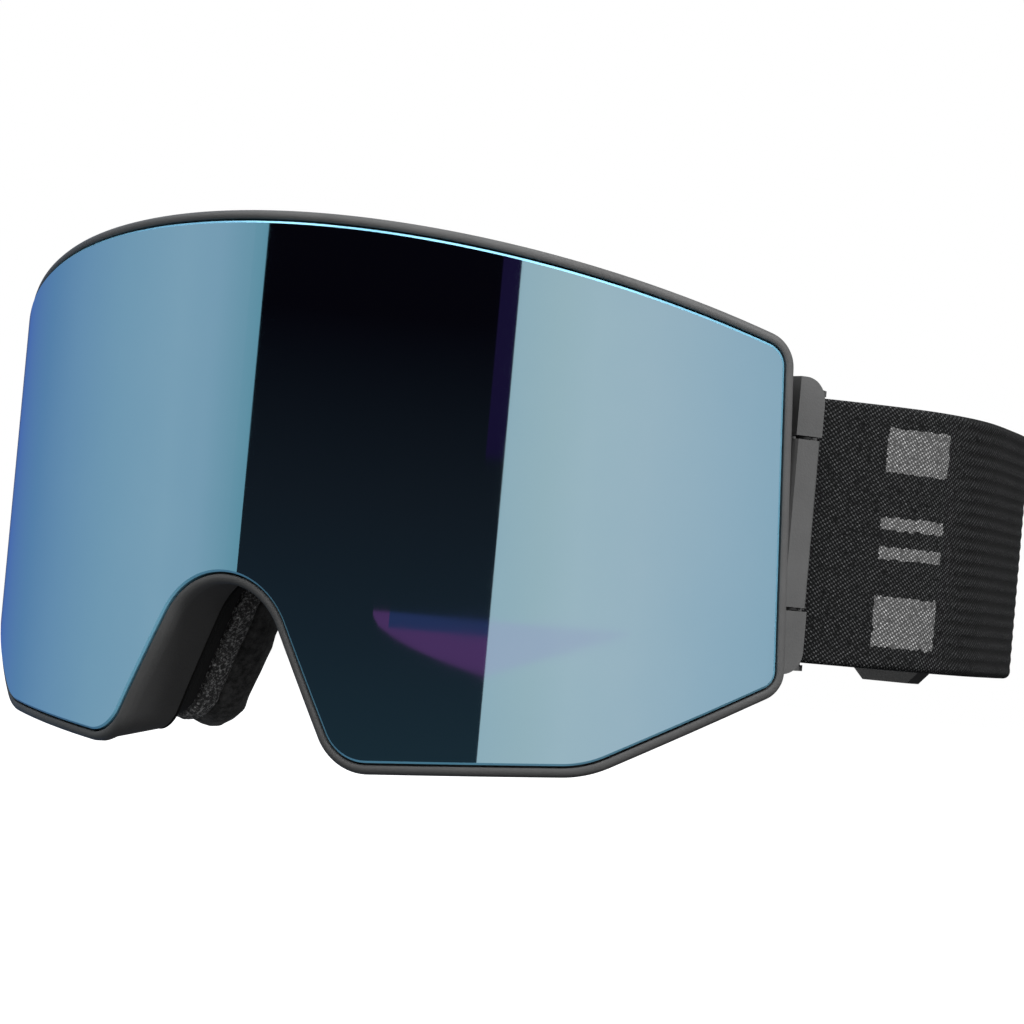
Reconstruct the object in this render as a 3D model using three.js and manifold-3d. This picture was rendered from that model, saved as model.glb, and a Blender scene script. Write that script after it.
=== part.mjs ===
// Frameless-look ski goggles: a cylindrical mirrored lens on a thin lipped frame, face foam,
// two hinged outriggers and a woven head strap with two length sliders.
//
// Millimetres, +Z up. The goggles look along -Y and the wearer's left is +X. The origin lies on the
// middle plane, at the frame's mid-height, where the foam meets the brow.

import * as THREE from 'three';
import { mergeVertices } from 'three/addons/utils/BufferGeometryUtils.js';
import Module from 'manifold-3d';

const wasm = await Module();
wasm.setup();

// ---- driving dimensions -------------------------------------------------------------------------

const LENS_RADIUS = 112; // outer surface of the cylindrical lens
const LENS_FRONT_Y = -42; // foremost point of the lens
const LENS_AXIS_Y = LENS_FRONT_Y + LENS_RADIUS;
const FACE_RADIUS = 95; // plan curve of the face that the foam fits
const GAP = 0.3; // clearance between touching pieces

const LENS_THICKNESS = 1.6;
const LIP_WIDTH = 1.6; // frame lip that shows around the lens
const LENS_EDGE = -(LIP_WIDTH + GAP);
const SHELF_DEPTH = 3.2; // from the lens surface to the shelf that the lens lands on
const SHELF_WIDTH = 6.5;
const SHELF_THICKNESS = 3.2;
const FRAME_DEPTH = 14;

const INNER_LENS_EDGE = -8;
const GASKET_WIDTH = 3;
const INNER_LENS_DEPTH = 4.4;
const INNER_LENS_THICKNESS = 0.8;

const MAGNET = { length: 8, width: 3, thickness: 1.8 };
const KEEPER_THICKNESS = 1;
const MAGNET_INSET = 4.2; // from the lip's outer edge to the magnet's centre

const FOAM_BASE_THICKNESS = 5;
const FOAM_FACE_THICKNESS = 10.4;
const FOAM_WIDTH = 13;
const FLANGE_THICKNESS = 2.6;

const HINGE = { x: 82.3, y: 5.4 }; // vertical axis of the +X outrigger hinge
const STRIP_ANGLE = 25; // degrees from +Y, outwards
const STRIP_HALF_LENGTH = 2.6;
const STRIP_HALF_THICKNESS = 1.5;
const STRIP_BOTTOM = -23.9;
const STRIP_TOP = 25.6;
const KNUCKLE_BOTTOM = -13;
const KNUCKLE_TOP = 15.5;
const SLIT = 0.6;
const CAP_ROUND = 4; // rear corner radius of the strip's two end caps
const PIN_RADIUS = 0.8;

const BAR_ANGLE = -16; // degrees from +Y, outwards, of the strap bar seen from the hinge axis
const STRAP_BAR_REACH = 7; // hinge axis to strap bar
const SPINE = [3.2, 4.1]; // hinge axis to the near and far side of the outrigger's spine
const STRAP_ANGLE = 48; // degrees from +Y, outwards, where the strap leaves its bar
const STRAP_BAR_RADIUS = 1;
const STRAP_BOTTOM = -21.8;
const STRAP_TOP = 22.7;
const STRAP_THICKNESS = 2;
const EAR_THICKNESS = 1;
const EAR_CLEARANCE = 0.4; // strap edge to ear
const STRAP_BACK_Y = 137; // middle of the strap's thickness behind the head

const SLIDER = { x: 32.5, width: 15, height: 51.2, bar: 3, rail: 2.9, depth: 5.2, chamfer: 2.4 };

// ---- materials ----------------------------------------------------------------------------------

function finish(color, roughness, metalness = 0) {
  return new THREE.MeshStandardMaterial({ color, roughness, metalness });
}

const MIRROR_LENS = finish(0x7fa9bf, 0.05, 0.9);
const CLEAR_LENS = finish(0x5c6468, 0.08);
const FRAME_PLASTIC = finish(0x3c3d3f, 0.45);
const SOFT_PLASTIC = finish(0x141517, 0.6);
const GREY_FOAM = finish(0x55585c, 0.95);
const BLACK_FOAM = finish(0x1b1c1e, 0.95);
const STRAP_WEAVE = finish(0x26282b, 0.9);
const STEEL = finish(0xa9abad, 0.35, 1);

// ---- solids -------------------------------------------------------------------------------------

// A closed mesh from points and triangles, with its faces turned outwards.
function solid(points, triangles) {
  let volume = 0;
  for (const [a, b, c] of triangles) {
    volume += points[a].dot(new THREE.Vector3().crossVectors(points[b], points[c]));
  }
  const facing = volume < 0 ? triangles.map(([a, b, c]) => [a, c, b]) : triangles;
  const geometry = new THREE.BufferGeometry().setFromPoints(points);
  geometry.setIndex(facing.flat());
  return geometry;
}

// Bare position geometry with shared vertices, and without the triangles that merging flattened.
function merged(geometry) {
  const bare = geometry.clone();
  bare.deleteAttribute('normal');
  bare.deleteAttribute('uv');
  const shared = mergeVertices(bare, 1e-4);
  const index = shared.index.array;
  const kept = [];
  for (let i = 0; i < index.length; i += 3) {
    const [a, b, c] = [index[i], index[i + 1], index[i + 2]];
    if (a !== b && b !== c && c !== a) kept.push(a, b, c);
  }
  shared.setIndex(kept);
  return shared;
}

function toManifold(geometry) {
  const shared = merged(geometry);
  return new wasm.Manifold(new wasm.Mesh({
    numProp: 3,
    vertProperties: new Float32Array(shared.attributes.position.array),
    triVerts: new Uint32Array(shared.index.array),
  }));
}

function toGeometry(manifold) {
  const mesh = manifold.getMesh();
  const geometry = new THREE.BufferGeometry();
  geometry.setAttribute('position', new THREE.BufferAttribute(mesh.vertProperties, 3));
  geometry.setIndex(Array.from(mesh.triVerts));
  return geometry;
}

// The union of some geometries, less the union of others.
function combine(added, removed = []) {
  let result = toManifold(added[0]);
  for (const geometry of added.slice(1)) result = result.add(toManifold(geometry));
  for (const geometry of removed) result = result.subtract(toManifold(geometry));
  return toGeometry(result);
}

// A vertical prism over an outline seen from above.
function prism(outline, bottom, top) {
  const shape = outline instanceof THREE.Shape ? outline : new THREE.Shape(outline);
  const geometry = new THREE.ExtrudeGeometry(shape, {
    depth: top - bottom,
    bevelEnabled: false,
    curveSegments: 8,
  });
  return merged(geometry.translate(0, 0, bottom));
}

function post(x, y, radius, bottom, top, sides = 16) {
  const geometry = new THREE.CylinderGeometry(radius, radius, top - bottom, sides);
  return merged(geometry.rotateX(Math.PI / 2).translate(x, y, (bottom + top) / 2));
}

// ---- outlines -----------------------------------------------------------------------------------

// Corners of one half, from the top middle round to the nose: [across, up, corner radius, steps
// round the corner, steps along the edge to the next corner]. The first corner's radius is the
// long curve of the brow.
const LENS_OUTLINE = [
  [46.07, 46.1, 300, 14, 1],
  [95.7, 30.5, 6, 4, 2],
  [99.2, -26.6, 5, 4, 3],
  [67.4, -43.5, 20, 3, 5],
  [24.2, -47, 10, 5, 2],
  [7.65, -17.3, 12.9, 6, 1],
];

// The same corners where the flange meets the foam, seen from behind.
const FACE_OUTLINE = [
  [34, 36.5, 150, 14, 1],
  [72.5, 20.5, 14, 4, 2],
  [74, -13.5, 12, 4, 3],
  [58, -31.5, 20, 3, 5],
  [30.5, -44, 8, 5, 2],
  [14.5, -13, 11, 6, 1],
];

// Both halves of an outline moved outwards by a distance, as corners in clockwise order.
function offsetCorners(half, distance) {
  const mirrored = half.toReversed().map(([x, z, radius, arc], i, all) => {
    const edge = i + 1 < all.length ? all[i + 1][4] : 1;
    return [-x, z, radius, arc, edge];
  });
  const corners = [...half, ...mirrored];
  const count = corners.length;
  return corners.map(([x, z, radius, arc, edge], i) => {
    const before = corners[(i + count - 1) % count];
    const after = corners[(i + 1) % count];
    const inward = new THREE.Vector2(x - before[0], z - before[1]).normalize();
    const outward = new THREE.Vector2(after[0] - x, after[1] - z).normalize();
    const turn = inward.cross(outward);
    const miter = distance / (1 + inward.dot(outward));
    const place = new THREE.Vector2(
      x - miter * (inward.y + outward.y),
      z + miter * (inward.x + outward.x),
    );
    const rounded = Math.max(radius + (turn < 0 ? distance : -distance), 1.5);
    return { place, inward, outward, turn, radius: rounded, arc, edge };
  });
}

// Points along the closed outline, with the same count for every distance.
function outlinePoints(half, distance) {
  const corners = offsetCorners(half, distance);
  const points = [];
  corners.forEach((corner, i) => {
    const half_angle = Math.atan2(Math.abs(corner.turn), 1 + corner.inward.dot(corner.outward));
    const reach = corner.radius * Math.tan(half_angle);
    const start = corner.place.clone().addScaledVector(corner.inward, -reach);
    const side = corner.turn < 0 ? 1 : -1;
    const centre = start.clone().add(
      new THREE.Vector2(corner.inward.y, -corner.inward.x).multiplyScalar(side * corner.radius),
    );
    for (let k = 0; k <= corner.arc; k++) {
      const angle = (-side * 2 * half_angle * k) / corner.arc;
      points.push(start.clone().rotateAround(centre, angle));
    }
    const next = corners[(i + 1) % corners.length];
    const next_angle = Math.atan2(Math.abs(next.turn), 1 + next.inward.dot(next.outward));
    const end = next.place.clone().addScaledVector(next.inward, -next.radius * Math.tan(next_angle));
    const last = points.at(-1).clone();
    for (let k = 1; k < corner.edge; k++) points.push(last.clone().lerp(end, k / corner.edge));
  });
  return points;
}

// A point of the curved front: distance along the lens, height, and depth behind its surface.
function onLens(across, up, depth) {
  const angle = across / LENS_RADIUS;
  const radius = LENS_RADIUS - depth;
  return new THREE.Vector3(
    radius * Math.sin(angle),
    LENS_AXIS_Y - radius * Math.cos(angle),
    up,
  );
}

function lensLoop(distance, depth) {
  return outlinePoints(LENS_OUTLINE, distance).map((p) => onLens(p.x, p.y, depth));
}

// A loop that stands off the face by a height measured along Y.
function faceLoop(distance, standoff) {
  return outlinePoints(FACE_OUTLINE, distance).map((p) => {
    const face = FACE_RADIUS - Math.sqrt(FACE_RADIUS ** 2 - p.x ** 2);
    return new THREE.Vector3(p.x, face - standoff, p.y);
  });
}

function mixLoops(first, second, share) {
  return first.map((p, i) => p.clone().lerp(second[i], share));
}

// A ring whose section's corners each run round one loop.
function ring(loops) {
  const count = loops[0].length;
  const triangles = [];
  loops.forEach((_, k) => {
    const next = (k + 1) % loops.length;
    for (let i = 0; i < count; i++) {
      const j = (i + 1) % count;
      const [a, b, c, d] = [k * count + i, k * count + j, next * count + j, next * count + i];
      triangles.push([a, b, c], [a, c, d]);
    }
  });
  return solid(loops.flat(), triangles);
}

// The stretch of such a ring between two places on the loops, closed at both ends.
function ringStretch(loops, from, to) {
  const cut = loops.map((loop) => loop.slice(from, to + 1));
  const count = cut[0].length;
  const triangles = [];
  cut.forEach((_, k) => {
    const next = (k + 1) % cut.length;
    for (let i = 0; i + 1 < count; i++) {
      const [a, b, c, d] = [k * count + i, k * count + i + 1, next * count + i + 1, next * count + i];
      triangles.push([a, b, c], [a, c, d]);
    }
  });
  for (let k = 1; k + 1 < cut.length; k++) {
    triangles.push([0, k * count, (k + 1) * count]);
    const end = count - 1;
    triangles.push([end, (k + 1) * count + end, k * count + end]);
  }
  return solid(cut.flat(), triangles);
}

// Height of the outline above (or below) one place across it.
function heightAt(points, across, upper) {
  const heights = [];
  points.forEach((p, i) => {
    const q = points[(i + 1) % points.length];
    if (Math.min(p.x, q.x) - 1e-6 > across || Math.max(p.x, q.x) + 1e-6 < across) return;
    const share = Math.abs(q.x - p.x) < 1e-6 ? 0 : (across - p.x) / (q.x - p.x);
    heights.push(p.y + share * (q.y - p.y));
    if (Math.abs(q.x - p.x) < 1e-6) heights.push(q.y);
  });
  return upper ? Math.max(...heights) : Math.min(...heights);
}

// A curved plate that fills the lens outline between two depths.
function lensPlate(distance, front, back) {
  const outline = outlinePoints(LENS_OUTLINE, distance);
  const stations = [];
  for (const across of outline.map((p) => p.x).sort((a, b) => a - b)) {
    if (!stations.length || across - stations.at(-1) > 0.05) stations.push(across);
  }
  const points = [];
  for (const across of stations) {
    const top = heightAt(outline, across, true);
    const bottom = heightAt(outline, across, false);
    points.push(onLens(across, top, front), onLens(across, bottom, front));
    points.push(onLens(across, top, back), onLens(across, bottom, back));
  }
  const triangles = [];
  const quad = (a, b, c, d) => triangles.push([a, b, c], [a, c, d]);
  for (let s = 0; s + 1 < stations.length; s++) {
    const [p, q] = [4 * s, 4 * s + 4];
    quad(p, p + 1, q + 1, q);
    quad(p + 3, p + 2, q + 2, q + 3);
    quad(p + 2, p, q, q + 2);
    quad(p + 1, p + 3, q + 3, q + 1);
  }
  const last = 4 * (stations.length - 1);
  quad(0, 2, 3, 1);
  quad(last + 1, last + 3, last + 2, last);
  return merged(solid(points, triangles));
}

// ---- magnets ------------------------------------------------------------------------------------

function browHeight(across) {
  const [, top, radius] = LENS_OUTLINE[0];
  return top - radius + Math.sqrt(radius ** 2 - across ** 2);
}

const BOTTOM_EDGE = { across: 45, up: -45.3, lean: 5 };

// Name, place across and up, and lean in degrees of each magnet and its keeper.
const MAGNET_PLACES = [];
for (const [side, sign] of [['left', 1], ['right', -1]]) {
  for (const [where, across] of [['upper_outer', 74], ['upper_inner', 26]]) {
    const lean = THREE.MathUtils.radToDeg(Math.asin(across / LENS_OUTLINE[0][2]));
    MAGNET_PLACES.push([`${where}_${side}`, sign * across, browHeight(across) - MAGNET_INSET, sign * lean]);
  }
  MAGNET_PLACES.push([
    `lower_${side}`,
    sign * BOTTOM_EDGE.across,
    BOTTOM_EDGE.up + MAGNET_INSET,
    -sign * BOTTOM_EDGE.lean,
  ]);
}

// A block lying parallel to the lens surface, from one depth to another.
function blockBehindLens([, across, up, lean], front, back, grow = 0) {
  const block = new THREE.BoxGeometry(MAGNET.length + grow, back - front, MAGNET.width + grow);
  block.rotateY(THREE.MathUtils.degToRad(lean));
  block.rotateZ(across / LENS_RADIUS);
  const middle = onLens(across, up, (front + back) / 2);
  return merged(block.translate(middle.x, middle.y, middle.z));
}

// ---- frame and face side ------------------------------------------------------------------------

function frontFrame() {
  const body = ring([
    lensLoop(-LIP_WIDTH, GAP),
    lensLoop(-0.3, 0.5),
    lensLoop(0, 1.2),
    lensLoop(0, 2.4),
    lensLoop(-0.6, 3.8),
    lensLoop(-2.6, FRAME_DEPTH),
    lensLoop(-4.6, FRAME_DEPTH),
    lensLoop(-SHELF_WIDTH, SHELF_DEPTH + SHELF_THICKNESS),
    lensLoop(-SHELF_WIDTH, SHELF_DEPTH),
    lensLoop(-LIP_WIDTH, SHELF_DEPTH),
  ]);
  const floor = SHELF_DEPTH + MAGNET.thickness + 2 * GAP;
  const pockets = MAGNET_PLACES.map((place) => blockBehindLens(place, SHELF_DEPTH - 1, floor, 2 * GAP));
  return combine([body], pockets);
}

const FLANGE_STANDOFF = FOAM_BASE_THICKNESS + FOAM_FACE_THICKNESS + 4 * GAP;

function flangeLoops() {
  return [
    lensLoop(-2.6, FRAME_DEPTH + GAP),
    faceLoop(0, FLANGE_STANDOFF + FLANGE_THICKNESS),
    faceLoop(0, FLANGE_STANDOFF),
    faceLoop(-FOAM_WIDTH + 2, FLANGE_STANDOFF),
    faceLoop(-FOAM_WIDTH + 2, FLANGE_STANDOFF + 1.6),
    faceLoop(-3, FLANGE_STANDOFF + FLANGE_THICKNESS),
    lensLoop(-4.6, FRAME_DEPTH + GAP),
  ];
}

const TOP_VENTS = [-56, -40, -24, -8, 8, 24, 40, 56];
const BOTTOM_VENTS = [-54, -38, 38, 54];
const VENT = { length: 12, depth: 4.4, height: 16 };

// A cutter for one vent, upright in the gap between the front frame and the foam.
function ventCutter(across, up) {
  const angle = across / LENS_RADIUS;
  const front = onLens(across, up, FRAME_DEPTH + GAP);
  const face = FACE_RADIUS - Math.sqrt(FACE_RADIUS ** 2 - front.x ** 2) - FLANGE_STANDOFF;
  const box = new THREE.BoxGeometry(VENT.length, VENT.depth, VENT.height);
  return merged(box.rotateZ(angle).translate(front.x, (front.y + face - FLANGE_THICKNESS) / 2, up));
}

function faceFrame() {
  const cutters = [
    ...TOP_VENTS.map((across) => ventCutter(across, browHeight(across) - 4)),
    ...BOTTOM_VENTS.map((across) => ventCutter(across, BOTTOM_EDGE.up + 4)),
  ];
  return combine([ring(flangeLoops())], cutters);
}

// A strip of open-cell foam lining the vents from inside, between two places on the loops.
const VENT_FOAM_SPAN = [0.1, 0.86]; // shares of the way from the frame to the flange's back

function ventFoam(from, to) {
  const flange_front = FLANGE_STANDOFF + FLANGE_THICKNESS;
  const inside = [-5.1, -6.9].map((distance) => lensLoop(distance, FRAME_DEPTH + GAP));
  const behind = [-3.9, -5.7].map((distance) => faceLoop(distance, flange_front));
  const [near, far] = VENT_FOAM_SPAN;
  const [outer_front, inner_front] = inside.map((loop, i) => mixLoops(loop, behind[i], near));
  const [outer_back, inner_back] = inside.map((loop, i) => mixLoops(loop, behind[i], far));
  return ringStretch([outer_front, outer_back, inner_back, inner_front], from, to);
}

function foamBase() {
  const back = FOAM_FACE_THICKNESS + 1.5 * GAP;
  const front = back + FOAM_BASE_THICKNESS;
  return ring([
    faceLoop(0.4, front),
    faceLoop(1, back),
    faceLoop(-FOAM_WIDTH / 2, back),
    faceLoop(-FOAM_WIDTH, back),
    faceLoop(-FOAM_WIDTH + 1, front),
  ]);
}

function foamFace() {
  return ring([
    faceLoop(1, FOAM_FACE_THICKNESS),
    faceLoop(1.2, 3.5),
    faceLoop(-2, 0.4),
    faceLoop(-FOAM_WIDTH / 2, 0),
    faceLoop(-FOAM_WIDTH + 1.5, 0.8),
    faceLoop(-FOAM_WIDTH - 0.5, 4),
    faceLoop(-FOAM_WIDTH, FOAM_FACE_THICKNESS),
    faceLoop(-FOAM_WIDTH / 2, FOAM_FACE_THICKNESS),
  ]);
}

// ---- outriggers ---------------------------------------------------------------------------------

function heading(degrees) {
  const angle = THREE.MathUtils.degToRad(degrees);
  return new THREE.Vector2(Math.sin(angle), Math.cos(angle));
}

// A place seen from above, measured from the hinge axis along and across a heading.
function fromHinge(direction, along, across) {
  return new THREE.Vector2(
    HINGE.x + along * direction.x + across * direction.y,
    HINGE.y + along * direction.y - across * direction.x,
  );
}

const STRIP = heading(STRIP_ANGLE);
const ARM = heading(BAR_ANGLE);
const STRAP_WAY = heading(STRAP_ANGLE);

// Middle knuckle: round in front about the hinge axis, so that it turns clear of the frame.
function knuckleOutline() {
  const [length, thickness, round, steps] = [STRIP_HALF_LENGTH, STRIP_HALF_THICKNESS, 0.6, 6];
  const side = Math.asin(thickness / length);
  const outline = [fromHinge(STRIP, length, -thickness)];
  for (let k = 0; k <= steps; k++) {
    const angle = side - (2 * side * k) / steps;
    outline.push(fromHinge(STRIP, -length * Math.cos(angle), -length * Math.sin(angle)));
  }
  outline.push(fromHinge(STRIP, length - round, thickness), fromHinge(STRIP, length, thickness - round));
  return outline;
}

// One end cap of the strip as a plate whose free rear corner is rounded; `free` is +1 for the top.
function endCap(inner_end, outer_end, free) {
  const shape = new THREE.Shape();
  const [front, rear] = [-STRIP_HALF_LENGTH, STRIP_HALF_LENGTH];
  shape.moveTo(front, inner_end);
  shape.lineTo(front, outer_end);
  shape.lineTo(rear - CAP_ROUND, outer_end);
  shape.absarc(rear - CAP_ROUND, outer_end - free * CAP_ROUND, CAP_ROUND, free * Math.PI / 2, 0, free > 0);
  shape.lineTo(rear, inner_end);
  const plate = new THREE.ExtrudeGeometry(shape, {
    depth: 2 * STRIP_HALF_THICKNESS,
    bevelEnabled: false,
    curveSegments: 6,
  });
  plate.translate(0, 0, -STRIP_HALF_THICKNESS);
  plate.applyMatrix4(new THREE.Matrix4().makeBasis(
    new THREE.Vector3(STRIP.x, STRIP.y, 0),
    new THREE.Vector3(0, 0, 1),
    new THREE.Vector3(STRIP.y, -STRIP.x, 0),
  ));
  return merged(plate.translate(HINGE.x, HINGE.y, 0));
}

// The fixed half of the hinge: two end knuckles on a plate against the frame's end wall.
function sideBracket() {
  const wall_start = onLens(98.5, 0, 3.8);
  const wall_end = onLens(96.5, 0, FRAME_DEPTH);
  const along = new THREE.Vector2(wall_end.x - wall_start.x, wall_end.y - wall_start.y).normalize();
  const off = new THREE.Vector2(along.y, -along.x);
  const plate_point = (run, rise) => new THREE.Vector2(
    wall_start.x + along.x * run + off.x * rise,
    wall_start.y + along.y * run + off.y * rise,
  );
  const plate = [plate_point(5, 0.6), plate_point(5, 2.2), plate_point(10, 2.2), plate_point(10, 0.6)];
  const arm = [
    fromHinge(STRIP, -STRIP_HALF_LENGTH, 0),
    fromHinge(STRIP, STRIP_HALF_LENGTH - 0.6, 0),
    fromHinge(STRIP, STRIP_HALF_LENGTH - 0.6, -STRIP_HALF_THICKNESS - 0.4),
    plate_point(6.5, 2),
    plate_point(6.5, 0.8),
    plate_point(5.4, 0.8),
    fromHinge(STRIP, -STRIP_HALF_LENGTH, -STRIP_HALF_THICKNESS),
  ];
  const [low, high] = [KNUCKLE_BOTTOM - SLIT / 2, KNUCKLE_TOP + SLIT / 2];
  const pieces = [
    prism(plate, STRIP_BOTTOM + 3, STRIP_TOP - 3),
    prism(arm, STRIP_BOTTOM + CAP_ROUND, low),
    prism(arm, high, STRIP_TOP - CAP_ROUND),
    endCap(low, STRIP_BOTTOM, -1),
    endCap(high, STRIP_TOP, 1),
  ];
  const bore = post(HINGE.x, HINGE.y, PIN_RADIUS + GAP, STRIP_BOTTOM + 4, STRIP_TOP + 1);
  return combine(pieces, [bore]);
}

function hingePin() {
  return post(HINGE.x, HINGE.y, PIN_RADIUS, STRIP_BOTTOM + 4 + GAP, STRIP_TOP - 1);
}

const STRAP_BAR = fromHinge(ARM, STRAP_BAR_REACH, 0);

// The moving half: middle knuckle, a spine behind it, and two ears that hold the strap bar.
function outrigger() {
  const [low, high] = [KNUCKLE_BOTTOM + SLIT / 2, KNUCKLE_TOP - SLIT / 2];
  const reach = EAR_CLEARANCE + EAR_THICKNESS;
  const [bottom, top] = [STRAP_BOTTOM - reach, STRAP_TOP + reach];
  const rectangle = (start, end, half) => [
    fromHinge(ARM, start, half),
    fromHinge(ARM, end, half),
    fromHinge(ARM, end, -half),
    fromHinge(ARM, start, -half),
  ];
  const [spine_start, spine_end] = SPINE;
  const ear = rectangle(spine_start, STRAP_BAR_REACH + 1.2, 1.2);
  const bore = post(HINGE.x, HINGE.y, PIN_RADIUS + GAP, low - 1, high + 1);
  return combine([
    prism(knuckleOutline(), low, high),
    prism(rectangle(0, spine_end, 1.2), low, high),
    prism(rectangle(spine_start, spine_end, 1.2), bottom, top),
    prism(ear, bottom, bottom + EAR_THICKNESS),
    prism(ear, top - EAR_THICKNESS, top),
    post(STRAP_BAR.x, STRAP_BAR.y, STRAP_BAR_RADIUS, bottom + 0.3, top - 0.3, 12),
  ], [bore]);
}

// The strap's sewn end: a hem round the bar that narrows to the single strap.
const STRAP_END_LENGTH = 5.5;

function strapEnd() {
  const [hem, stitched, steps] = [2.6, 1.7, 8];
  const outline = [];
  for (const [reach, radius, turn] of [[0, hem, 180], [STRAP_END_LENGTH, stitched, 0]]) {
    const middle = STRAP_BAR.clone().addScaledVector(STRAP_WAY, reach);
    for (let k = 0; k <= steps; k++) {
      const side = heading(STRAP_ANGLE + turn - 90 + (180 * k) / steps);
      outline.push(middle.clone().addScaledVector(side, radius));
    }
  }
  const hole = post(STRAP_BAR.x, STRAP_BAR.y, STRAP_BAR_RADIUS + 0.4, STRAP_BOTTOM - 1, STRAP_TOP + 1);
  return combine([prism(outline, STRAP_BOTTOM, STRAP_TOP)], [hole]);
}

// ---- strap --------------------------------------------------------------------------------------

// The strap's middle line seen from above, from the outrigger round to the middle of the back.
const STRAP_ROUTE = new THREE.CatmullRomCurve3([
  new THREE.Vector3(89.6, 20.6, 0),
  new THREE.Vector3(93.6, 28.6, 0),
  new THREE.Vector3(95.2, 38, 0),
  new THREE.Vector3(94.6, 48, 0),
  new THREE.Vector3(91, 63, 0),
  new THREE.Vector3(85.4, 81, 0),
  new THREE.Vector3(76.5, 97, 0),
  new THREE.Vector3(66, 114, 0),
  new THREE.Vector3(57, 128, 0),
  new THREE.Vector3(51, STRAP_BACK_Y - 2.4, 0),
  new THREE.Vector3(44, STRAP_BACK_Y, 0),
  new THREE.Vector3(18, STRAP_BACK_Y, 0),
  new THREE.Vector3(GAP, STRAP_BACK_Y, 0),
], false, 'centripetal');

const ROUTE_STEPS = 44;
const FLAT_FROM = 34; // step from which the strap runs straight across the back of the head

function strapHalf() {
  const line = STRAP_ROUTE.getSpacedPoints(ROUTE_STEPS);
  const offset = (side) => line.map((p, i) => {
    const before = line[Math.max(i - 1, 0)];
    const after = line[Math.min(i + 1, line.length - 1)];
    const along = after.clone().sub(before).normalize();
    const half = side * STRAP_THICKNESS / 2;
    const y = i > FLAT_FROM ? STRAP_BACK_Y + half : p.y - along.x * half;
    return new THREE.Vector2(p.x + along.y * half, y);
  });
  return prism([...offset(1), ...offset(-1).reverse()], STRAP_BOTTOM, STRAP_TOP);
}

// A sewn cover over the join of the two halves, outside the strap.
function joinPatch() {
  const front = STRAP_BACK_Y + STRAP_THICKNESS / 2 + GAP;
  const outline = [[-8, front], [8, front], [8, front + 1], [-8, front + 1]];
  return prism(outline.map(([x, y]) => new THREE.Vector2(x, y)), STRAP_BOTTOM + 1, STRAP_TOP - 1);
}

// A three-bar slider: the strap runs outside its end bars and inside its middle bar.
function strapSlider() {
  const { x, width, height, bar, rail, depth, chamfer } = SLIDER;
  const middle_z = (STRAP_BOTTOM + STRAP_TOP) / 2;
  const [left, right] = [x - width / 2, x + width / 2];
  const [low, high] = [middle_z - height / 2, middle_z + height / 2];
  const inside = STRAP_BACK_Y - STRAP_THICKNESS / 2 - GAP;
  const outside = STRAP_BACK_Y + STRAP_THICKNESS / 2 + GAP;
  const face = new THREE.Shape([
    [left + chamfer, low], [right - chamfer, low], [right, low + chamfer], [right, high - chamfer],
    [right - chamfer, high], [left + chamfer, high], [left, high - chamfer], [left, low + chamfer],
  ].map(([a, b]) => new THREE.Vector2(a, b)));
  const plate = new THREE.ExtrudeGeometry(face, { depth, bevelEnabled: false });
  plate.rotateX(Math.PI / 2).translate(0, STRAP_BACK_Y + depth / 2, 0);
  const box = (x0, x1, y0, y1) => new THREE.BoxGeometry(x1 - x0, y1 - y0, high - low - 2 * rail)
    .translate((x0 + x1) / 2, (y0 + y1) / 2, middle_z);
  const far = STRAP_BACK_Y + depth;
  const near = STRAP_BACK_Y - depth;
  return combine([plate], [
    box(left - 1, right + 1, inside, outside),
    box(left - 1, x - bar / 2, inside, far),
    box(x + bar / 2, right + 1, inside, far),
    box(left + bar, right - bar, near, outside),
  ]);
}

// ---- assembly -----------------------------------------------------------------------------------

const goggles = new THREE.Group();

function addPiece(name, geometry, material) {
  const mesh = new THREE.Mesh(geometry, material);
  mesh.name = name;
  goggles.add(mesh);
}

// The same piece on the wearer's right, mirrored through the middle plane.
function mirrored(geometry) {
  const copy = merged(geometry).scale(-1, 1, 1);
  const index = Array.from(copy.index.array);
  for (let i = 0; i < index.length; i += 3) [index[i], index[i + 1]] = [index[i + 1], index[i]];
  copy.setIndex(index);
  return copy;
}

function addPair(name, geometry, material) {
  addPiece(`${name}_left`, geometry, material);
  addPiece(`${name}_right`, mirrored(geometry), material);
}

addPiece('front_frame', frontFrame(), FRAME_PLASTIC);
addPiece('face_frame', faceFrame(), SOFT_PLASTIC);
addPiece('foam_base', foamBase(), GREY_FOAM);
addPiece('foam_face', foamFace(), BLACK_FOAM);

const loop_length = outlinePoints(LENS_OUTLINE, 0).length;
const half_loop = loop_length / 2;
addPiece('top_vent_foam_left', ventFoam(1, 11), BLACK_FOAM);
addPiece('top_vent_foam_right', ventFoam(loop_length - 12, loop_length - 2), BLACK_FOAM);
addPiece('bottom_vent_foam_left', ventFoam(half_loop - 21, half_loop - 16), BLACK_FOAM);
addPiece('bottom_vent_foam_right', ventFoam(half_loop + 15, half_loop + 20), BLACK_FOAM);

addPiece('outer_lens', lensPlate(LENS_EDGE, 0, LENS_THICKNESS), MIRROR_LENS);
addPiece('lens_gasket', ring([
  lensLoop(INNER_LENS_EDGE, LENS_THICKNESS + GAP),
  lensLoop(INNER_LENS_EDGE, INNER_LENS_DEPTH - GAP),
  lensLoop(INNER_LENS_EDGE - GASKET_WIDTH, INNER_LENS_DEPTH - GAP),
  lensLoop(INNER_LENS_EDGE - GASKET_WIDTH, LENS_THICKNESS + GAP),
]), BLACK_FOAM);
addPiece(
  'inner_lens',
  lensPlate(INNER_LENS_EDGE, INNER_LENS_DEPTH, INNER_LENS_DEPTH + INNER_LENS_THICKNESS),
  CLEAR_LENS,
);

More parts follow.
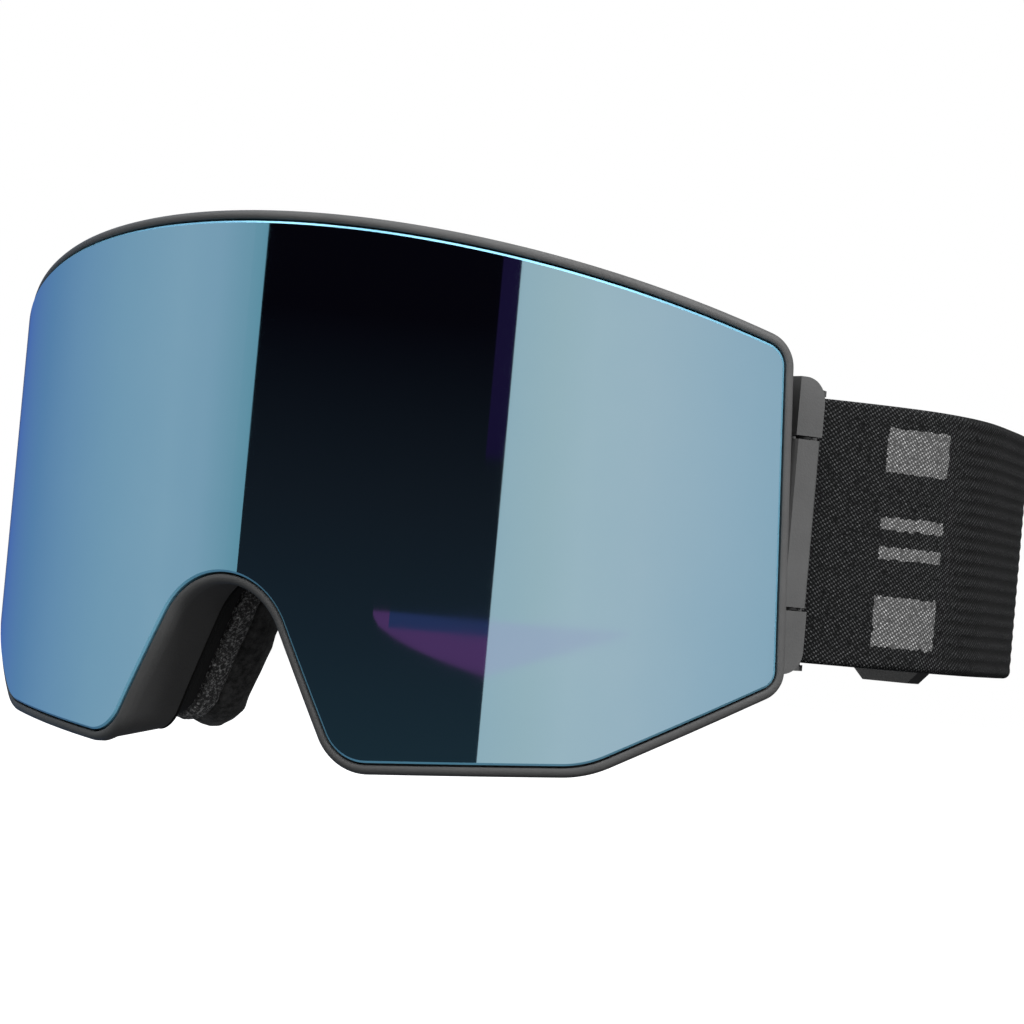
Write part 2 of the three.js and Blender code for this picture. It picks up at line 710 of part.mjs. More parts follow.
for (const place of MAGNET_PLACES) {
  const magnet_front = SHELF_DEPTH + GAP;
  const keeper_front = LENS_THICKNESS + GAP;
  addPiece(
    `magnet_${place[0]}`,
    blockBehindLens(place, magnet_front, magnet_front + MAGNET.thickness),
    STEEL,
  );
  addPiece(
    `keeper_${place[0]}`,
    blockBehindLens(place, keeper_front, keeper_front + KEEPER_THICKNESS),
    STEEL,
  );
}

addPair('side_bracket', sideBracket(), FRAME_PLASTIC);
addPair('hinge_pin', hingePin(), STEEL);
addPair('outrigger', outrigger(), FRAME_PLASTIC);
addPair('strap_end', strapEnd(), STRAP_WEAVE);
addPair('strap', strapHalf(), STRAP_WEAVE);
addPair('strap_slider', strapSlider(), SOFT_PLASTIC);
addPiece('strap_join_patch', joinPatch(), STRAP_WEAVE);

export default goggles;
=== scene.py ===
# Looks of a pair of ski goggles: smooth shells, foam, woven strap and materials round the CAD frame.
# Metres, +Z up, the goggles look along -Y and the wearer's left is +X.

import math

import bpy
import numpy as np
from mathutils import Matrix, Vector


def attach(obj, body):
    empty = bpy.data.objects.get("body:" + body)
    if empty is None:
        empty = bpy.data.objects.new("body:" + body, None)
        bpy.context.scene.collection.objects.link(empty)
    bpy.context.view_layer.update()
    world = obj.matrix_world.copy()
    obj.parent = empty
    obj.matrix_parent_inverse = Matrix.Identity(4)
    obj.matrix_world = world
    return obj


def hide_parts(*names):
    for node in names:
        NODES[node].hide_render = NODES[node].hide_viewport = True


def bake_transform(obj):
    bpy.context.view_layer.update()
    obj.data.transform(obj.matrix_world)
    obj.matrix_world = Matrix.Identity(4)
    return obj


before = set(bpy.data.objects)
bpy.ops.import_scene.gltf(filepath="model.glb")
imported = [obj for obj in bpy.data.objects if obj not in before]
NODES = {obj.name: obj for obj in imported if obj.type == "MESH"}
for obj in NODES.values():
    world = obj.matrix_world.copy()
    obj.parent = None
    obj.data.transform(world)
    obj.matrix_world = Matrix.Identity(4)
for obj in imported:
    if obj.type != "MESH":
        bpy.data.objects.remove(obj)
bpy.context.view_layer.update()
MM = 0.001

# ---- driving dimensions, in millimetres as in the CAD source ------------------------------------

LENS_RADIUS = 112  # outer surface of the cylindrical lens
LENS_AXIS_Y = 70
FACE_RADIUS = 95  # plan curve of the face that the foam fits
FRAME_DEPTH = 14
FLANGE_STANDOFF = 16.6  # face to the flange's foam side
FLANGE_THICKNESS = 2.6
FOAM_WIDTH = 13
FOAM_FACE = 10.4  # face to the front of the fleece layer
FOAM_BASE_BACK = 10.85  # face to the back and front of the grey layer
FOAM_BASE_FRONT = 15.85
STRAP_BOTTOM = -21.8
STRAP_TOP = 22.7
STRAP_THICKNESS = 2
HEM_THICKNESS = 1.3  # one layer of the webbing folded round the bar
STRAP_BACK_Y = 137  # middle of the strap's thickness behind the head
HINGE = np.array([82.3, 5.4])
STRAP_BAR_REACH = 7  # hinge axis to strap bar
HEM_RADIUS = 1.95  # bar's middle to the middle of the folded webbing
SIDES = (("left", 1), ("right", -1))
FINENESS = 4  # points per CAD outline step
SMALLEST_CORNER = 1.5  # radius that an inset corner keeps
PAIR_REACH = 0.9  # rim points closer than this across the lens stand one above the other

# Corners of one half: across, up, corner radius, steps round the corner, steps to the next corner.
LENS_OUTLINE = [
    (46.07, 46.1, 300, 14, 1),
    (95.7, 30.5, 6, 4, 2),
    (99.2, -26.6, 5, 4, 3),
    (67.4, -43.5, 20, 3, 5),
    (24.2, -47, 10, 5, 2),
    (7.65, -17.3, 12.9, 6, 1),
]
FACE_OUTLINE = [
    (34, 36.5, 150, 14, 1),
    (72.5, 20.5, 14, 4, 2),
    (74, -13.5, 12, 4, 3),
    (58, -31.5, 20, 3, 5),
    (30.5, -44, 8, 5, 2),
    (14.5, -13, 11, 6, 1),
]


# ---- camera --------------------------------------------------------------------------------------

CAMERA_PLACE = (0.3688, -0.4962, -0.0167)
CAMERA_YAW = 34.427
CAMERA_PITCH = -1.547
CAMERA_ROLL = 5.196
CAMERA_LENS = 121.79
CAMERA_SENSOR = 36


def add_camera():
    yaw, pitch, roll = (math.radians(a) for a in (CAMERA_YAW, CAMERA_PITCH, CAMERA_ROLL))
    back = Vector((
        math.sin(yaw) * math.cos(pitch),
        -math.cos(yaw) * math.cos(pitch),
        math.sin(pitch),
    ))
    level = (-back).cross(Vector((0, 0, 1))).normalized()
    rise = level.cross(-back)
    across = math.cos(roll) * level + math.sin(roll) * rise
    upward = math.cos(roll) * rise - math.sin(roll) * level
    data = bpy.data.cameras.new("camera")
    data.sensor_width = CAMERA_SENSOR
    data.lens = CAMERA_LENS
    data.clip_start = 0.01
    camera = bpy.data.objects.new("camera", data)
    turn = Matrix((across, upward, back)).transposed().to_4x4()
    camera.matrix_world = Matrix.Translation(CAMERA_PLACE) @ turn
    bpy.context.collection.objects.link(camera)
    bpy.context.scene.camera = camera


add_camera()


# ---- outlines and shells -------------------------------------------------------------------------

def offset_corners(half, distance):
    """Both halves of an outline moved outwards, as corners in clockwise order."""
    corners = list(half)
    for i in range(len(half) - 1, -1, -1):
        x, z, radius, arc, _ = half[i]
        corners.append((-x, z, radius, arc, half[i - 1][4] if i else 1))
    made = []
    for i, (x, z, radius, arc, edge) in enumerate(corners):
        place = np.array([x, z], float)
        before = np.array(corners[i - 1][:2], float)
        after = np.array(corners[(i + 1) % len(corners)][:2], float)
        arrive = (place - before) / np.linalg.norm(place - before)
        leave = (after - place) / np.linalg.norm(after - place)
        turn = arrive[0] * leave[1] - arrive[1] * leave[0]
        both = arrive + leave
        moved = place + distance / (1 + arrive @ leave) * np.array([-both[1], both[0]])
        rounded = max(radius + (distance if turn < 0 else -distance), SMALLEST_CORNER)
        bend = math.atan2(abs(turn), 1 + arrive @ leave)
        made.append((moved, arrive, turn, rounded, bend, arc * FINENESS, edge * FINENESS))
    return made


def outline_points(half, distance):
    """Points along the closed outline, with the same count for every distance."""
    corners = offset_corners(half, distance)
    points = []
    for i, (place, arrive, turn, radius, bend, arc, edge) in enumerate(corners):
        start = place - arrive * radius * math.tan(bend)
        side = 1 if turn < 0 else -1
        centre = start + side * radius * np.array([arrive[1], -arrive[0]])
        for k in range(arc + 1):
            angle = -side * 2 * bend * k / arc
            cosine, sine = math.cos(angle), math.sin(angle)
            spin = np.array([[cosine, -sine], [sine, cosine]])
            points.append(centre + spin @ (start - centre))
        following = corners[(i + 1) % len(corners)]
        end = following[0] - following[1] * following[3] * math.tan(following[4])
        last = points[-1]
        points += [last + (end - last) * k / edge for k in range(1, edge)]
    return np.array(points)


def on_lens(points, depth):
    """Places on the curved front, from distance along the lens, height, and depth behind it."""
    angle = points[:, 0] / LENS_RADIUS
    radius = LENS_RADIUS - depth
    return np.stack([radius * np.sin(angle), LENS_AXIS_Y - radius * np.cos(angle), points[:, 1]], 1)


def lens_loop(distance, depth):
    return on_lens(outline_points(LENS_OUTLINE, distance), depth)


def face_loop(distance, standoff):
    """A loop that stands off the face by a height measured along Y."""
    points = outline_points(FACE_OUTLINE, distance)
    face = FACE_RADIUS - np.sqrt(FACE_RADIUS ** 2 - points[:, 0] ** 2)
    return np.stack([points[:, 0], face - standoff, points[:, 1]], 1)


def make_object(name, points, faces, uv=None):
    """A mesh object from millimetre points, with an optional map for the weave."""
    mesh = bpy.data.meshes.new(name)
    mesh.from_pydata((np.asarray(points) * MM).tolist(), [], faces)
    mesh.update()
    if uv is not None:
        layer = mesh.uv_layers.new(name="weave")
        corner_points = np.array([loop.vertex_index for loop in mesh.loops])
        layer.data.foreach_set("uv", np.asarray(uv, np.float32)[corner_points].ravel())
    piece = bpy.data.objects.new(name, mesh)
    bpy.context.collection.objects.link(piece)
    return piece


def turn_outwards(points, faces):
    """The same faces, reversed if they enclose a negative volume."""
    points = np.asarray(points)
    volume = 0.0
    for face in faces:
        for k in range(1, len(face) - 1):
            volume += points[face[0]] @ np.cross(points[face[k]], points[face[k + 1]])
    return [tuple(reversed(face)) for face in faces] if volume < 0 else faces


def ring_faces(count, loops, windows=()):
    """Quads of a ring of closed loops; windows are (band, far band, first, last) to leave open."""
    open_cells = set()
    for band, far, first, last in windows:
        open_cells |= {(b, i % count) for b in (band, far) for i in range(first, last)}
    faces = []
    for k in range(loops):
        after = (k + 1) % loops
        for i in range(count):
            if (k, i) in open_cells:
                continue
            j = (i + 1) % count
            faces.append((k * count + i, k * count + j, after * count + j, after * count + i))
    for band, far, first, last in windows:
        near_a, near_b, far_a, far_b = band, band + 1, far + 1, far
        for i in range(first, last):
            a, b = i % count, (i + 1) % count
            for near, away, (m, n) in ((near_a, far_a, (a, b)), (near_b, far_b, (b, a))):
                faces.append((near * count + m, near * count + n, away * count + n, away * count + m))
        for i, flip in ((first, True), (last, False)):
            a = i % count
            wall = (near_a * count + a, near_b * count + a, far_b * count + a, far_a * count + a)
            faces.append(tuple(reversed(wall)) if flip else wall)
    return faces


def capped_faces(count, loops):
    """Quads of a row of closed loops, with a flat cap on the first and on the last."""
    faces = ring_faces(count, loops)[: count * (loops - 1)]
    faces.append(tuple(reversed(range(count))))
    faces.append(tuple(range(count * (loops - 1), count * loops)))
    return faces


def ring_object(name, loops, windows=(), sharp=35):
    points = np.concatenate(loops)
    faces = turn_outwards(points, ring_faces(len(loops[0]), len(loops), windows))
    piece = make_object(name, points, faces)
    shade(piece, sharp)
    return piece


def shade(piece, sharp):
    piece.data.shade_smooth()
    piece.data.set_sharp_from_angle(angle=math.radians(sharp))


def bevel(piece, width, segments=3, angle=30):
    """Rounds a piece's hard edges with a modifier."""
    rounding = piece.modifiers.new("rounded_edges", "BEVEL")
    rounding.width = width * MM
    rounding.segments = segments
    rounding.limit_method = "ANGLE"
    rounding.angle_limit = math.radians(angle)
    rounding.harden_normals = True


def lens_sheet(name, layers):
    """A curved plate built from (inset, depth) layers: the first is its front, the last its back."""
    rims = [outline_points(LENS_OUTLINE, inset) for inset, _ in layers]
    points = np.concatenate([on_lens(rim, depth) for (_, depth), rim in zip(layers, rims)])
    count = len(rims[0])
    faces = ring_faces(count, len(layers))[: count * (len(layers) - 1)]
    for layer, flip in ((0, False), (len(layers) - 1, True)):
        pairs = pair_columns(rims[layer])
        for (a, b), (c, d) in zip(pairs, pairs[1:]):
            face = [layer * count + n for n in dict.fromkeys((a, b, d, c))]
            if len(face) > 2:
                faces.append(tuple(reversed(face)) if flip else tuple(face))
    piece = make_object(name, points, turn_outwards(points, faces))
    shade(piece, 30)
    return piece


def pair_columns(rim):
    """Pairs of rim points, one above the other, from the left end to the right end."""
    left, right = int(np.argmin(rim[:, 0])), int(np.argmax(rim[:, 0]))
    count = len(rim)
    upper = [(left + k) % count for k in range((right - left) % count + 1)]
    lower = [(left - k) % count for k in range((left - right) % count + 1)]
    i = j = 0
    pairs = [(upper[0], lower[0])]
    while i + 1 < len(upper) or j + 1 < len(lower):
        next_up = rim[upper[i + 1], 0] if i + 1 < len(upper) else math.inf
        next_low = rim[lower[j + 1], 0] if j + 1 < len(lower) else math.inf
        if abs(next_up - next_low) < PAIR_REACH:
            i, j = i + 1, j + 1
        elif next_up < next_low:
            i += 1
        else:
            j += 1
        pairs.append((upper[i], lower[j]))
    return pairs


# ---- materials -----------------------------------------------------------------------------------

class Tree:
    """A short way to write a node tree."""

    def __init__(self, tree):
        self.tree = tree

    def add(self, kind, inputs=(), **settings):
        node = self.tree.nodes.new("ShaderNode" + kind)
        for key, value in settings.items():
            setattr(node, key, value)
        for key, value in dict(inputs).items():
            self.put(node.inputs[key], value)
        return node

    def put(self, socket, value):
        if isinstance(value, bpy.types.NodeSocket):
            self.tree.links.new(value, socket)
        else:
            socket.default_value = value

    def math(self, operation, a, b=0.0, c=0.0, clamp=False):
        node = self.add("Math", {0: a, 1: b, 2: c}, operation=operation, use_clamp=clamp)
        return node.outputs[0]

    def both(self, a, b):
        """The product of two values: of two masks, the place where both are 1."""
        return self.math("MULTIPLY", a, b)

    def inside(self, value, low, high):
        """1 where a value lies between two limits, else 0."""
        return self.both(self.math("GREATER_THAN", value, low), self.math("LESS_THAN", value, high))

    def place(self, scale=(1, 1, 1)):
        """Object coordinates, stretched along each axis."""
        place = self.add("TexCoord").outputs["Object"]
        return self.add("Mapping", {"Vector": place, "Scale": scale}).outputs[0]

    def noise(self, scale, detail=3.0, rough=0.5, vector=None):
        inputs = {"Vector": vector or self.place(), "Scale": scale, "Detail": detail, "Roughness": rough}
        return self.add("TexNoise", inputs).outputs["Fac"]

    def mix(self, share, a, b):
        node = self.add("Mix", {"Factor": share}, data_type="RGBA")
        self.put(node.inputs[6], a)
        self.put(node.inputs[7], b)
        return node.outputs[2]

    def spread(self, value, low, high, to_low=0.0, to_high=1.0):
        """A value mapped from one range to another and held inside it."""
        node = self.add("MapRange", {"Value": value, 1: low, 2: high, 3: to_low, 4: to_high})
        return node.outputs[0]


class Surface(Tree):
    """A new material round one Principled shader."""

    def __init__(self, name, **constants):
        self.material = bpy.data.materials.new(name)
        self.material.use_nodes = True
        super().__init__(self.material.node_tree)
        self.shader = self.tree.nodes["Principled BSDF"]
        for socket, value in constants.items():
            self.shader.inputs[socket.replace("_", " ")].default_value = value

    def bump(self, height, distance):
        node = self.add("Bump", {"Height": height, "Distance": distance * MM, "Strength": 1.0})
        self.put(self.shader.inputs["Normal"], node.outputs[0])

    def color(self, value):
        self.put(self.shader.inputs["Base Color"], value)

    def rough(self, value):
        self.put(self.shader.inputs["Roughness"], value)


def grey(value, tint=0.0):
    """A neutral colour, slightly cool with a positive tint."""
    return (value * (1 - tint), value, value * (1 + tint), 1)


def moulded_plastic(name, shade_value, roughness, grain=0.05, tint=0.0, shine=0.3):
    """Fine-textured moulded plastic with faint handling marks."""
    n = Surface(name, Specular_IOR_Level=shine)
    fine = n.noise(2600, 2)
    marks = n.noise(70, 5, 0.65)
    dark, light = grey(shade_value * 0.88, tint), grey(shade_value * 1.12, tint)
    n.color(n.mix(n.spread(marks, 0.3, 0.7), dark, light))
    n.rough(n.spread(marks, 0.25, 0.75, roughness - 0.05, roughness + 0.07))
    n.bump(fine, grain)
    return n.material


def mirror_coating():
    n = Surface("mirror_coating", Metallic=1.0)
    haze = n.noise(35, 4, 0.6)
    n.color(n.mix(n.spread(haze, 0.35, 0.7), (0.43, 0.635, 0.74, 1), (0.45, 0.65, 0.75, 1)))
    n.rough(n.spread(haze, 0.3, 0.8, 0.012, 0.04))
    return n.material


def lens_rim():
    """The bevelled edge that catches the light round the mirror."""
    n = Surface("lens_rim", Metallic=0.5)
    n.color(n.mix(n.noise(120), (0.15, 0.39, 0.54, 1), (0.19, 0.44, 0.59, 1)))
    n.rough(n.spread(n.noise(60), 0.3, 0.7, 0.22, 0.34))
    return n.material


def smoked_back():
    n = Surface("smoked_lens_back", Coat_Weight=0.4)
    n.color(n.mix(n.noise(20), (0.010, 0.014, 0.020, 1), (0.016, 0.022, 0.030, 1)))
    n.rough(n.spread(n.noise(45, 4), 0.3, 0.7, 0.06, 0.12))
    return n.material


def clear_film():
    n = Surface("clear_film", Transmission_Weight=0.9, IOR=1.45)
    n.color(n.mix(n.noise(25), (0.62, 0.68, 0.70, 1), (0.70, 0.75, 0.77, 1)))
    n.rough(n.spread(n.noise(50, 4), 0.3, 0.7, 0.03, 0.08))
    return n.material


def speckled_foam(name, dark, light, cell, share=0.56):
    """Open-cell foam: dark cells with pale flecks."""
    n = Surface(name, Sheen_Weight=0.05, Specular_IOR_Level=0.15)
    cells = n.add("TexVoronoi", {"Vector": n.place(), "Scale": cell}).outputs["Distance"]
    flecks = n.noise(cell * 1.3, 4, 0.8)
    n.color(n.mix(n.spread(flecks, share - 0.06, share + 0.1), dark, light))
    n.rough(n.spread(cells, 0, 1, 0.82, 1.0))
    n.bump(n.math("ADD", cells, flecks), 0.3)
    return n.material


def fleece():
    n = Surface("black_fleece", Sheen_Weight=0.12, Sheen_Roughness=0.5, Specular_IOR_Level=0.1)
    nap = n.noise(900, 6, 0.75)
    clumps = n.noise(210, 4, 0.6)
    pile = n.math("ADD", n.both(nap, 0.6), n.both(clumps, 0.4))
    n.color(n.mix(n.spread(pile, 0.42, 0.66), grey(0.018), grey(0.11)))
    n.rough(n.spread(pile, 0.3, 0.7, 0.85, 1.0))
    n.bump(pile, 0.35)
    return n.material


def brushed_metal(name, dark, light):
    n = Surface(name, Metallic=1.0)
    streaks = n.noise(300, 3, 0.6, n.place((8, 1, 1)))
    n.color(n.mix(streaks, grey(dark), grey(light)))
    n.rough(n.spread(streaks, 0.3, 0.7, 0.24, 0.4))
    n.bump(streaks, 0.01)
    return n.material


# Pale blocks woven into the strap: first and last distance from the bar, lowest and highest place.
STRAP_BLOCKS = [(12.3, 25.4, 11.5, 19.0), (12.3, 25.4, -18.0, -9.4)]
STRAP_BARS = [(12.3, 25.4, 1.8, 3.9), (12.3, 25.4, -3.2, -1.1)]
THREAD = 0.8  # pitch of the weave
THREAD_WANDER = 0.55
TWILL_SLANT = 0.28
BLOCK_RAGGEDNESS = 1.1
RIB_START = 26  # distance from the bar where the ribs begin, and how far they take to grow
RIB_FADE = 8
RIB_PITCH = 2.1
RIB_HEIGHT = 0.06


def woven_block(n, along, up, first, last, low, high):
    """1 inside a pale block, whose edges follow the threads unevenly."""
    ragged = n.both(n.math("SUBTRACT", n.noise(900, 1), 0.5), BLOCK_RAGGEDNESS)
    across = n.inside(n.math("ADD", along, ragged), first, last)
    return n.both(across, n.inside(n.math("ADD", up, ragged), low, high))


def strap_weave():
    """Elastic webbing: a dotted twill that turns into lengthwise ribs, with paler woven blocks. The dots
    carry a painted highlight, and the grooves between the ribs carry painted shade.
    """
    n = Surface("strap_weave", Sheen_Weight=0.01, Specular_IOR_Level=0.05)
    uv = n.add("SeparateXYZ", {0: n.add("UVMap", uv_map="weave").outputs[0]})
    along, up = uv.outputs[0], uv.outputs[1]
    wander = n.both(n.noise(300, 3), THREAD_WANDER)
    turn = 2 * math.pi / THREAD
    slant = n.math("ADD", up, n.both(along, TWILL_SLANT))
    warp = n.math("SINE", n.both(n.math("ADD", along, wander), turn))
    weft = n.math("SINE", n.both(n.math("ADD", slant, wander), turn))
    dots = n.spread(n.both(warp, weft), -0.1, 0.8)
    fleck = n.spread(n.noise(1300, 3, 0.75), 0.36, 0.66)
    # The twill's dots times the flecks: the weave's own pattern, whose paleness on the dark yarn is a
    # painted highlight on the yarn crests.
    dots_and_highlight = n.both(dots, fleck)
    ribs = n.spread(n.math("SINE", n.both(up, 2 * math.pi / RIB_PITCH)), -0.9, 0.6)
    ribbed = n.spread(along, RIB_START, RIB_START + RIB_FADE)
    # Painted shade: the grooves between the lengthwise ribs are darkened, on top of the ribs' real
    # relief.
    painted_groove_shade = n.math("SUBTRACT", 0.62, n.both(ribs, 0.5))
    shade_ribs = n.math("SUBTRACT", 1.0, n.both(ribbed, painted_groove_shade))
    block = 0.0
    for limits in STRAP_BLOCKS + STRAP_BARS:
        block = n.math("ADD", woven_block(n, along, up, *limits), block, clamp=True)
    # On the dark yarn the dots are lightened by a painted highlight; in the pale blocks they show the
    # paler yarn.
    dark = n.mix(dots_and_highlight, grey(0.004, 0.03), grey(0.095, 0.02))
    pale = n.mix(dots_and_highlight, grey(0.05), grey(0.5))
    # The painted shade between the ribs pulls the weave's colour towards near black.
    n.color(n.mix(shade_ribs, grey(0.004), n.mix(block, dark, pale)))
    n.rough(n.spread(fleck, 0, 1, 0.78, 0.95))
    n.bump(n.math("ADD", dots_and_highlight, n.both(ribs, ribbed)), 0.16)
    return n.material


FRAME_PLASTIC = moulded_plastic("frame_plastic", 0.07, 0.5, shine=0.1)
STRIP_PLASTIC = moulded_plastic("strip_plastic", 0.078, 0.5, shine=0.1)
RUBBER = moulded_plastic("flange_rubber", 0.02, 0.65, 0.08, 0.0, 0.05)
SLIDER_PLASTIC = moulded_plastic("slider_plastic", 0.05, 0.55, 0.05, 0.0, 0.05)
SILICONE = moulded_plastic("grip_silicone", 0.03, 0.3, 0.02, 0.05)
THREAD_MATERIAL = moulded_plastic("sewing_thread", 0.05, 0.7, 0.1)
MIRROR = mirror_coating()
RIM = lens_rim()
SMOKED = smoked_back()
FILM = clear_film()
GREY_FOAM = speckled_foam("grey_foam", grey(0.045), grey(0.62), 1300)
VENT_FOAM = speckled_foam("vent_foam", grey(0.006), grey(0.03), 700)
GASKET_FOAM = speckled_foam("gasket_foam", grey(0.008), grey(0.03), 1500)
FLEECE = fleece()
METAL = brushed_metal("plated_steel", 0.42, 0.58)
# Painted shade: the hinge pin is made near-black steel so that the slits it shows through read as
# shaded.
SLIT_SHADE_METAL = brushed_metal("slit_shade_steel", 0.02, 0.035)
WEAVE = strap_weave()


def dress(piece, material, body, slot_name, *nodes):
    """Gives a piece its material and body, and hides the CAD nodes it stands for. The slot name is not
    used.
    """
    piece.data.materials.append(material)
    if body:
        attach(piece, body)
    if nodes:
        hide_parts(*nodes)
    return piece


# ---- lens ----------------------------------------------------------------------------------------

# Sections of the lens pieces: each corner's distance out from the rim and depth behind the front.
MIRROR_SECTION = [(-2.3, 0), (-1.95, 0.3), (-1.9, 0.7), (-1.9, 1.6)]
FILM_SECTION = [(-8, 4.4), (-8, 5.2)]
GASKET_SECTION = [(-8.1, 1.9), (-7.9, 3), (-8.1, 4.1), (-11, 4.1), (-11.2, 3), (-11, 1.9)]
# How far a face of the shield looks outwards to be mirror, or inwards to be the smoked back.
FRONT_FACING = 0.95
BACK_FACING = -0.5


def lens_ring(section):
    return [lens_loop(distance, depth) for distance, depth in section]


def face_ring(section):
    return [face_loop(distance, standoff) for distance, standoff in section]


def add_lens():
    shield = lens_sheet("lens_shield", MIRROR_SECTION)
    dress(shield, MIRROR, "lens", "mirror_lens", "outer_lens")
    shield.data.materials.append(RIM)
    shield.data.materials.append(SMOKED)
    axis = Vector((0, LENS_AXIS_Y * MM, 0))
    for face in shield.data.polygons:
        outward = Vector((face.center.x, face.center.y - axis.y, 0)).normalized()
        facing = face.normal.dot(outward)
        face.material_index = 0 if facing > FRONT_FACING else 2 if facing < BACK_FACING else 1
    inner = lens_sheet("inner_film", FILM_SECTION)
    dress(inner, FILM, "lens", "clear_lens", "inner_lens")
    gasket = ring_object("spacer_gasket", lens_ring(GASKET_SECTION))
    dress(gasket, GASKET_FOAM, "lens", "black_foam", "lens_gasket")


add_lens()


# ---- frame and face side -------------------------------------------------------------------------

def arc_index(points, across, upper=True):
    """Index of the outline point nearest to a place across the top or the bottom."""
    wanted = points[:, 1] > 0 if upper else points[:, 1] < 0
    distance = np.where(wanted, np.abs(points[:, 0] - across), 1e9)
    return int(np.argmin(distance))


TOP_VENTS = (-56, -40, -24, -8, 8, 24, 40, 56)
BOTTOM_VENTS = (-54, -38, 38, 54)
VENT_HALF = 5.6


def vent_windows(outer_band, inner_band):
    rim = outline_points(LENS_OUTLINE, 0)
    count = len(rim)
    windows = []
    for vents, upper in ((TOP_VENTS, True), (BOTTOM_VENTS, False)):
        for across in vents:
            ends = [arc_index(rim, across + side * VENT_HALF, upper) for side in (-1, 1)]
            first, last = ends if upper else ends[::-1]
            windows.append((outer_band, inner_band, first, last if last > first else last + count))
    return windows


def blend_loops(first, second, share):
    return first * (1 - share) + second * share


# Section of the front frame, from the lip's inner edge over the front, back along the outside and
# forward along the shelf that the lens sits on.
LIP_SECTION = [
    (-1.6, 0.75), (-1.52, 0.45), (-1.3, 0.32), (-0.9, 0.32), (-0.45, 0.45), (-0.15, 0.75),
    (0, 1.2), (0, 2.4), (-0.25, 3.1), (-0.6, 3.8),
    (-2.6, FRAME_DEPTH - 0.3), (-2.9, FRAME_DEPTH), (-4.6, FRAME_DEPTH),
    (-6.5, 6.4), (-6.5, 3.2), (-1.6, 3.2),
]
FLANGE_FRONT = FRAME_DEPTH + 0.3
FLANGE_BACK = FLANGE_STANDOFF + FLANGE_THICKNESS
FLANGE_SHARES = (0, 0.3, 0.78, 1)  # rows of the flange's wall between the frame and the foam
FLANGE_RIM = [
    (0.25, FLANGE_STANDOFF + 2), (0.25, FLANGE_STANDOFF + 0.6), (0, FLANGE_STANDOFF),
    (-11, FLANGE_STANDOFF), (-11, FLANGE_STANDOFF + 1.6),
]


def add_frame():
    lip = ring_object("frame_lip", lens_ring(LIP_SECTION))
    dress(lip, FRAME_PLASTIC, "frame", "frame_plastic", "front_frame")

    outer_ends = lens_loop(-2.6, FLANGE_FRONT), face_loop(0, FLANGE_BACK)
    inner_ends = lens_loop(-4.6, FLANGE_FRONT), face_loop(-3, FLANGE_BACK)
    outer = [blend_loops(*outer_ends, share) for share in FLANGE_SHARES]
    inner = [blend_loops(*inner_ends, share) for share in reversed(FLANGE_SHARES)]
    loops = outer + face_ring(FLANGE_RIM) + inner
    flange = ring_object("face_flange", loops, vent_windows(1, len(loops) - 3), 40)
    dress(flange, RUBBER, "frame", "soft_plastic", "face_frame")


add_frame()


WAVES = 14  # waves that add up to a foam's unevenness


def roughen(piece, amount, size, seed):
    """Uneven foam: each point moves a little along its normal, by smooth waves of a given size."""
    rng = np.random.default_rng(seed)
    mesh = piece.data
    places = np.array([v.co for v in mesh.vertices]) / MM
    normals = np.array([v.normal for v in mesh.vertices])
    height = np.zeros(len(places))
    for _ in range(WAVES):
        wave = rng.normal(size=3) * (2 * math.pi / size)
        height += np.sin(places @ wave + rng.uniform(0, 2 * math.pi))
    moved = places + normals * (height / math.sqrt(WAVES / 2) * amount)[:, None]
    mesh.vertices.foreach_set("co", (moved * MM).ravel())
    mesh.update()


# Sections of the two foam layers: distance out from the face outline and height off the face.
BASE_SECTION = [
    (0.35, FOAM_BASE_FRONT), (0.8, FOAM_BASE_FRONT - 1), (1.1, FOAM_BASE_FRONT - 2.6),
    (0.9, FOAM_BASE_BACK + 0.7), (0.5, FOAM_BASE_BACK), (-6.5, FOAM_BASE_BACK),
    (-FOAM_WIDTH, FOAM_BASE_BACK), (-FOAM_WIDTH, FOAM_BASE_FRONT - 2),
    (-FOAM_WIDTH + 0.8, FOAM_BASE_FRONT),
]
FLEECE_SECTION = [
    (0.3, FOAM_FACE), (1.0, FOAM_FACE - 0.8), (1.7, FOAM_FACE - 2.6), (2.0, FOAM_FACE - 4.6),
    (1.5, 3.6), (0.2, 1.7), (-2.2, 0.4), (-5, -0.1), (-8, -0.1), (-11, 0.7), (-12.8, 2.3),
    (-13.6, 4.6), (-13.5, 7.5), (-13, FOAM_FACE), (-6.5, FOAM_FACE),
]


def add_foam():
    base = ring_object("foam_base_layer", face_ring(BASE_SECTION), sharp=70)
    roughen(base, amount=0.07, size=3.5, seed=3)
    dress(base, GREY_FOAM, "frame", "grey_foam", "foam_base")

    face = ring_object("foam_face_layer", face_ring(FLEECE_SECTION), sharp=80)
    roughen(face, amount=0.12, size=6, seed=5)
    dress(face, FLEECE, "frame", "black_foam", "foam_face")


add_foam()


# Vent foams: where each strip starts and ends across the goggles, and whether it is an upper one.
VENT_FOAMS = [
    ("top_vent_foam_left", 5.8, 60, True), ("top_vent_foam_right", -60, -5.8, True),
    ("bottom_vent_foam_left", 60, 32, False), ("bottom_vent_foam_right", -32, -60, False),
]
VENT_FOAM_SHARES = (0.1, 0.35, 0.6, 0.86)  # rows between the frame and the foam rings
VENT_FOAM_THICKNESS = 1.8
VENT_FOAM_FRONT = -5.1  # inset of the strips at the frame and at the flange
VENT_FOAM_BACK = -3.9


